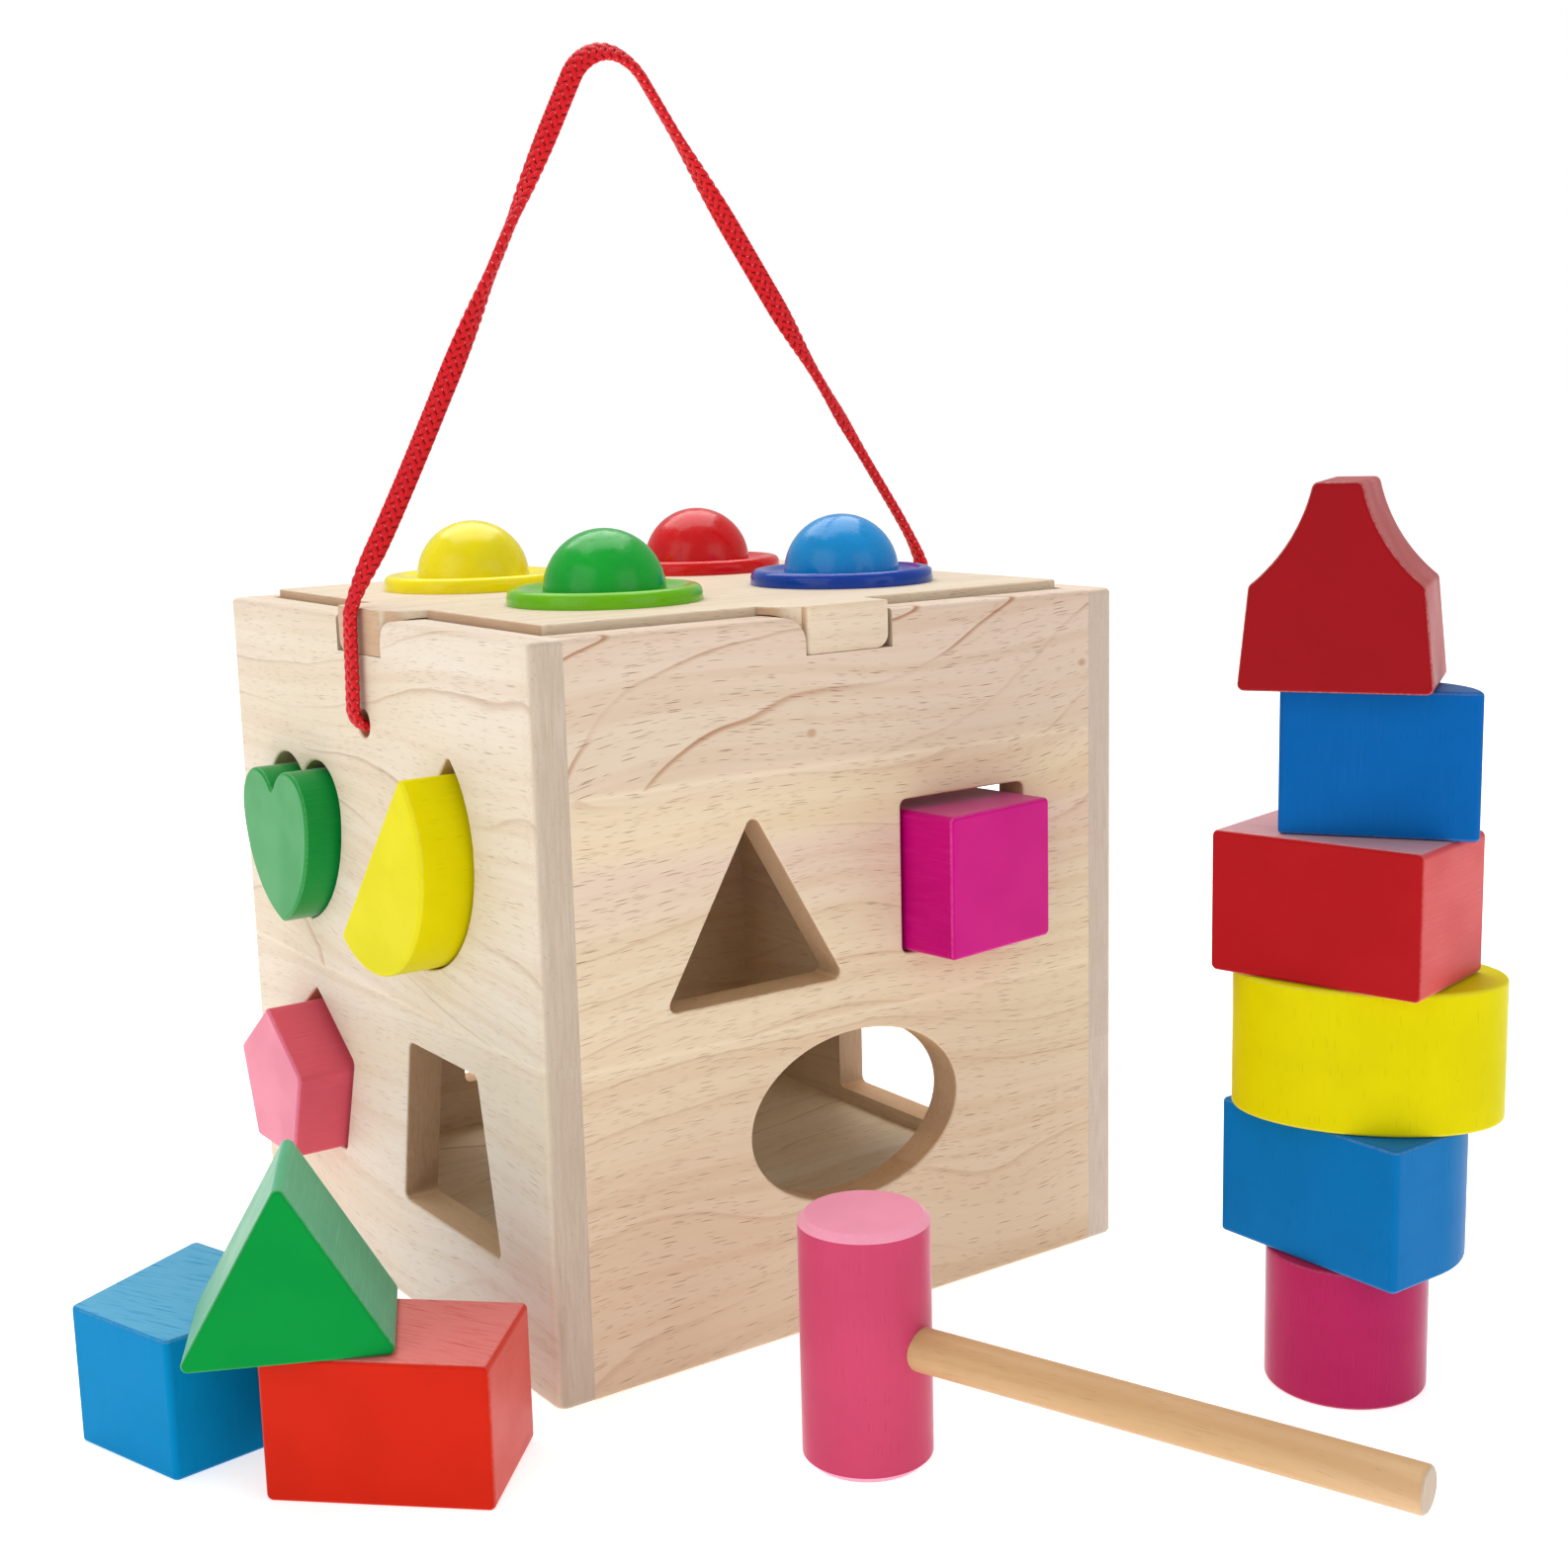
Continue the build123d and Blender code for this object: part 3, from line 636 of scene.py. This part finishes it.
def painted_ball(name, shade, seed=0.0):
    """Lacquered turned ball with soft, slightly uneven highlights."""
    g = Graph(name)
    place = g.vector("ADD", g.place(), (seed * 41.0, seed * 23.0, seed * 67.0))
    soft = g.noise(g.vector("SCALE", place, 1 / 7.0), 2.0)
    blotch = g.noise(g.vector("SCALE", place, 1 / 2.2), 3.0, 0.6)
    peel = g.noise(g.vector("SCALE", place, 1 / 0.8), 3.0, 0.6)
    spot_reach, spot_chance = g.cells(g.vector("SCALE", place, 1 / 2.6))
    spot = g.math("MULTIPLY", g.ramp(spot_reach, 0.02, 0.06, 1.0, 0.0), g.math("LESS_THAN", spot_chance, 0.3))
    tint = colour(*shade)
    darker = g.vector("MULTIPLY", tint[:3], (0.78, 0.78, 0.78))
    tint = g.mix(g.ramp(soft, 0.3, 0.75, 0.0, 0.4), tint, darker)
    tint = g.mix(g.math("MULTIPLY", spot, 0.5), tint, darker)
    relief = g.math("ADD", g.math("MULTIPLY", blotch, 0.8), g.math("MULTIPLY", peel, 0.4))
    g.set(
        Base_Color=tint,
        Roughness=g.ramp(blotch, 0.35, 0.65, 0.14, 0.3),
        Normal=g.bump(relief, 0.08, 0.6),
        Specular_IOR_Level=0.34,
    )
    return g.material


def moulded(name, shade, seed=0.0):
    """Glossy injection-moulded plastic with soft flow marks and a few fine scratches."""
    g = Graph(name)
    place = g.vector("ADD", g.place(), (seed * 31.0, seed * 57.0, seed * 11.0))
    flow = g.noise(g.vector("MULTIPLY", place, (1 / 9.0, 1 / 9.0, 1 / 3.0)), 2.0, distortion=0.8)
    scratch = g.noise(g.vector("MULTIPLY", place, (1 / 14.0, 1 / 0.35, 1 / 2.0)), 2.0)
    tint = colour(*shade)
    darker = g.vector("MULTIPLY", tint[:3], (0.82, 0.82, 0.82))
    tint = g.mix(g.ramp(flow, 0.35, 0.7, 0.0, 0.35), tint, darker)
    g.set(
        Base_Color=tint,
        Roughness=g.math("ADD", g.ramp(flow, 0.3, 0.7, 0.12, 0.2), g.ramp(scratch, 0.6, 0.72, 0.0, 0.12)),
        Normal=g.bump(g.math("ADD", flow, g.math("MULTIPLY", scratch, 0.1)), 0.12, 0.35),
        Specular_IOR_Level=0.3,
        Subsurface_Weight=0.05,
        Subsurface_Radius=(0.002, 0.002, 0.002),
    )
    return g.material


def braid():
    """Shiny red filament yarn: thread lines run along each stitch with painted highlights and shade, the
    grooves between get painted shade in deep red, and each eyelet, where a pair of stitches meets, gets a
    painted pale highlight."""
    g = Graph("red_braid")
    attribute = g.nodes.new("ShaderNodeAttribute")
    attribute.attribute_name = "stitch"
    across, lengthwise, height = g.parted(attribute.outputs["Vector"])
    eyelet = g.nodes.new("ShaderNodeAttribute")
    eyelet.attribute_name = "eyelet"
    thread_space = g.joined(g.math("MULTIPLY", across, 9.0), g.math("MULTIPLY", lengthwise, 0.6), height)
    threads = g.noise(thread_space, 2.0, 0.6)
    soft = g.noise(g.vector("SCALE", g.place(), 1 / 4.0), 2.0)
    # painted shade: the stitches darken to deep red towards the grooves between them
    tint = g.mix(g.ramp(height, 0.15, 0.8), colour(104, 0, 6), colour(216, 2, 20))
    # thread lines: painted highlights in pale red along the filaments, and painted shade in dark red between
    # them
    tint = g.mix(g.ramp(threads, 0.5, 0.7, 0.0, 0.5), tint, colour(246, 26, 36))
    tint = g.mix(g.ramp(threads, 0.28, 0.45, 0.45, 0.0), tint, colour(132, 0, 8))
    tint = g.mix(g.ramp(soft, 0.4, 0.7, 0.0, 0.25), tint, colour(190, 0, 18))
    # painted highlight: a pale dot at each eyelet
    eyelet_highlight = g.math("MULTIPLY", g.ramp(eyelet.outputs["Fac"], 0.5, 1.0), 0.5)
    tint = g.mix(eyelet_highlight, tint, colour(250, 196, 196))
    g.set(
        Base_Color=tint,
        Roughness=g.ramp(threads, 0.3, 0.7, 0.48, 0.34),
        Normal=g.bump(threads, 0.12, 0.9),
        Specular_IOR_Level=0.25,
    )
    return g.material


# ================================================================ what each node is made of
FRONT_TONES = (
    (0, (216, 194, 166)), (40, (222, 202, 174)), (62, (226, 208, 178)), (70, (230, 214, 184)),
    (92, (226, 210, 182)), (106, (224, 202, 182)), (113, (230, 214, 182)), (121, (226, 208, 180)),
    (126, (220, 203, 180)), (153, (220, 201, 182)),
)
# paler than the front's tones: partly painted light, brightening the inside seen through the holes
BACK_TONES = (
    (0, (228, 204, 176)), (56, (232, 210, 182)), (60, (228, 204, 184)), (110, (234, 216, 188)),
    (153, (228, 208, 188)),
)
PALE, CREAM, YELLOWISH = (226, 213, 196), (222, 207, 184), (226, 209, 183)

GREEN = (0, 144, 58)
YELLOW = (226, 214, 0)
PINK = (222, 108, 136)
MAGENTA = (208, 6, 134)
ROSE = (168, 22, 78)
MALLET_PINK = (200, 68, 104)
RED = (172, 10, 18)
DARK_RED = (150, 8, 18)
ORANGE = (204, 30, 0)
BLUE = (0, 110, 176)
LIGHT_BLUE = (0, 130, 186)
DEEP_BLUE = (0, 94, 168)


def node_materials():
    handle_turn = math.radians(MALLET_TURN)
    handle_run = (math.cos(handle_turn), math.sin(handle_turn), 0.0)
    return {
        "front_panel": wood("front_wood", X, Z, FRONT_TONES, glue_lines=(68, 122), seed=0.0, ring_show=0.9,
                            slope=0.28, knots=((-10, 129, 1.2), (65, 137, 1.1)), pore_show=0.85, holes=True),
        "back_panel": wood("back_wood", X, Z, BACK_TONES, glue_lines=(58, 111), seed=1.0, holes=True),
        "left_panel": wood("left_wood", Y, Z, (PALE, CREAM), glue_lines=(70,), seed=2.0, ring_show=0.4,
                           end_tone=(200, 186, 168), holes=True),
        "right_panel": wood("right_wood", Y, Z, BACK_TONES, glue_lines=(49, 98), seed=3.0,
                            end_tone=(210, 196, 182), holes=True),
        # paler than the other boards: painted light, brightening the inside of the box
        "bottom_board": wood("bottom_wood", X, Y, ((250, 236, 208), (246, 228, 194)), seed=4.0),
        "lid_board": wood("lid_wood", X, Y, (CREAM, YELLOWISH), seed=5.0, ring_show=0.4, pore_show=0.5,
                          end_tone=(206, 174, 144)),
        "mallet_handle": wood("handle_wood", handle_run, Z, ((210, 174, 132), (202, 164, 118)), seed=6.0,
                              ring_show=0.0, pore_show=0.25, end_tone=(196, 176, 154), roughness=0.42),
        "block_heart": paint("green_heart", GREEN, X, shine=0.16, coat=0.3, seed=1.0),
        "block_half_disc": paint("yellow_half_disc", YELLOW, X, ridge_show=0.2, shine=0.03, coat=0.05,
                                 sheen=0.05, seed=2.0),
        "block_pentagon": paint("pink_pentagon", PINK, X, side_shade=(222, 88, 106), shine=0.16, coat=0.4,
                                seed=3.0),
        "block_square": paint("magenta_square", MAGENTA, turned(8), side_shade=(194, 0, 116), seed=4.0),
        "block_disc": paint("rose_cylinder", ROSE, Z, side_shade=(174, 30, 86), ridge_show=0.2, sheen=0.8,
                            seed=5.0),
        "block_arch": paint("blue_arch", BLUE, Z, ridge_show=0.15, shine=0.04, coat=0.1, sheen=0.1, seed=6.0),
        "block_oval": paint("yellow_oval", (216, 204, 0), Z, ridge_show=0.1, shine=0.03, coat=0.05,
                            sheen=0.05, seed=7.0),
        "block_rectangle_red": paint("red_rectangle", RED, turned(-76), side_shade=(204, 70, 72),
                                     painted_top_sheen=(204, 150, 154), ridge_show=1.0, seed=8.0),
        "block_half_round": paint("blue_half_round", DEEP_BLUE, Z, ridge_show=0.15, shine=0.04, coat=0.1,
                                  sheen=0.1, seed=9.0),
        "block_bell": paint("dark_red_bell", DARK_RED, turned(-57), side_shade=(168, 34, 32), wear=0.35,
                            sheen=0.12, seed=10.0),
        "block_rectangle_orange": paint("orange_rectangle", ORANGE, turned(-43), side_shade=(204, 58, 42),
                                        painted_top_sheen=(222, 122, 118), seed=11.0),
        "block_trapezoid": paint("blue_trapezoid", LIGHT_BLUE, Z, painted_top_sheen=(96, 168, 206), ridge_show=0.15,
                                 shine=0.02, coat=0.04, sheen=0.03, seed=12.0),
        # the pale side colour and strong pale ridges are painted sheen on the slanted sides, laid along the
        # grain
        "block_triangle": paint("green_triangle", GREEN, turned(-26), side_shade=(88, 168, 126),
                                ridge_show=1.8, shine=0.04, coat=0.1, sheen=0.2, seed=13.0),
        # lighter pink on the top and bottom faces: partly a paler paint, partly painted light on the top face
        "mallet_head": paint("mallet_pink", (242, 152, 180), Z, side_shade=MALLET_PINK, wear=0.2,
                             ridge_show=0.2, seed=14.0),
        "ball_yellow": painted_ball("yellow_ball", (238, 224, 0), seed=1.0),
        "ball_green": painted_ball("green_ball", (0, 164, 46), seed=2.0),
        "ball_red": painted_ball("red_ball", (208, 6, 12), seed=3.0),
        "ball_blue": painted_ball("blue_ball", (0, 140, 210), seed=4.0),
        "ring_yellow": moulded("yellow_plastic", (248, 232, 0), seed=1.0),
        "ring_green": moulded("lime_plastic", (108, 187, 2), seed=2.0),
        "ring_red": moulded("red_plastic", (212, 8, 8), seed=3.0),
        "ring_blue": moulded("blue_plastic", (10, 60, 162), seed=4.0),
    }


def dress_nodes():
    for name, material in node_materials().items():
        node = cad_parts[name]
        node.data.materials.clear()
        node.data.materials.append(material)


# ================================================================ floor and light
FLOOR_GLOW = 0.60             # with the world's light it brings the floor to white
WORLD_LIGHT = 0.5
FLOOR_REACH = 30.0
LIGHT_TARGET = (0.0, 0.0, 0.08)


def make_floor():
    mesh = bpy.data.meshes.new("floor")
    corners = [(x * FLOOR_REACH, y * FLOOR_REACH, 0) for x, y in ((-1, -1), (1, -1), (1, 1), (-1, 1))]
    mesh.from_pydata(corners, [], [(0, 1, 2, 3)])
    g = Graph("pale_floor")
    cloud = g.noise(g.vector("SCALE", g.place(), 1 / 400.0))
    shade = g.mix(cloud, (0.94, 0.94, 0.94, 1.0), (0.96, 0.96, 0.96, 1.0))
    g.set(
        Base_Color=shade,
        Roughness=0.7,
        Specular_IOR_Level=0.1,
        Emission_Color=shade,
        Emission_Strength=FLOOR_GLOW,
    )
    mesh.materials.append(g.material)
    floor = bpy.data.objects.new("floor", mesh)
    bpy.context.scene.collection.objects.link(floor)


def softbox(name, place, size, watts):
    data = bpy.data.lights.new(name, "AREA")
    data.shape = "RECTANGLE"
    data.size, data.size_y = size
    data.energy = watts
    lamp = bpy.data.objects.new(name, data)
    bpy.context.scene.collection.objects.link(lamp)
    lamp.location = place
    lamp.rotation_mode = "QUATERNION"
    lamp.rotation_quaternion = (Vector(LIGHT_TARGET) - Vector(place)).to_track_quat("-Z", "Y")


def make_light():
    world = bpy.data.worlds.new("studio")
    bpy.context.scene.world = world
    world.use_nodes = True
    background = world.node_tree.nodes["Background"]
    rays = world.node_tree.nodes.new("ShaderNodeLightPath")
    seen = world.node_tree.nodes.new("ShaderNodeMapRange")
    seen.inputs["To Min"].default_value = WORLD_LIGHT
    seen.inputs["To Max"].default_value = 1.0
    world.node_tree.links.new(rays.outputs["Is Camera Ray"], seen.inputs["Value"])
    world.node_tree.links.new(seen.outputs["Result"], background.inputs["Strength"])
    background.inputs["Color"].default_value = (1.0, 1.0, 1.0, 1.0)
    softbox("left_softbox", (-1.3, -0.35, 0.7), (1.2, 1.2), 4.6)
    softbox("front_softbox", (0.35, -1.4, 0.6), (1.0, 1.0), 2.6)
    softbox("top_softbox", (0.2, 0.5, 1.3), (1.4, 1.4), 18.0)


make_camera()
braid_material = braid()
cord, cord_line, cord_length = make_cord(braid_material)
knots = make_knots(braid_material)
dress_nodes()
make_floor()
make_light()
bpy.context.scene.view_settings.view_transform = "Standard"
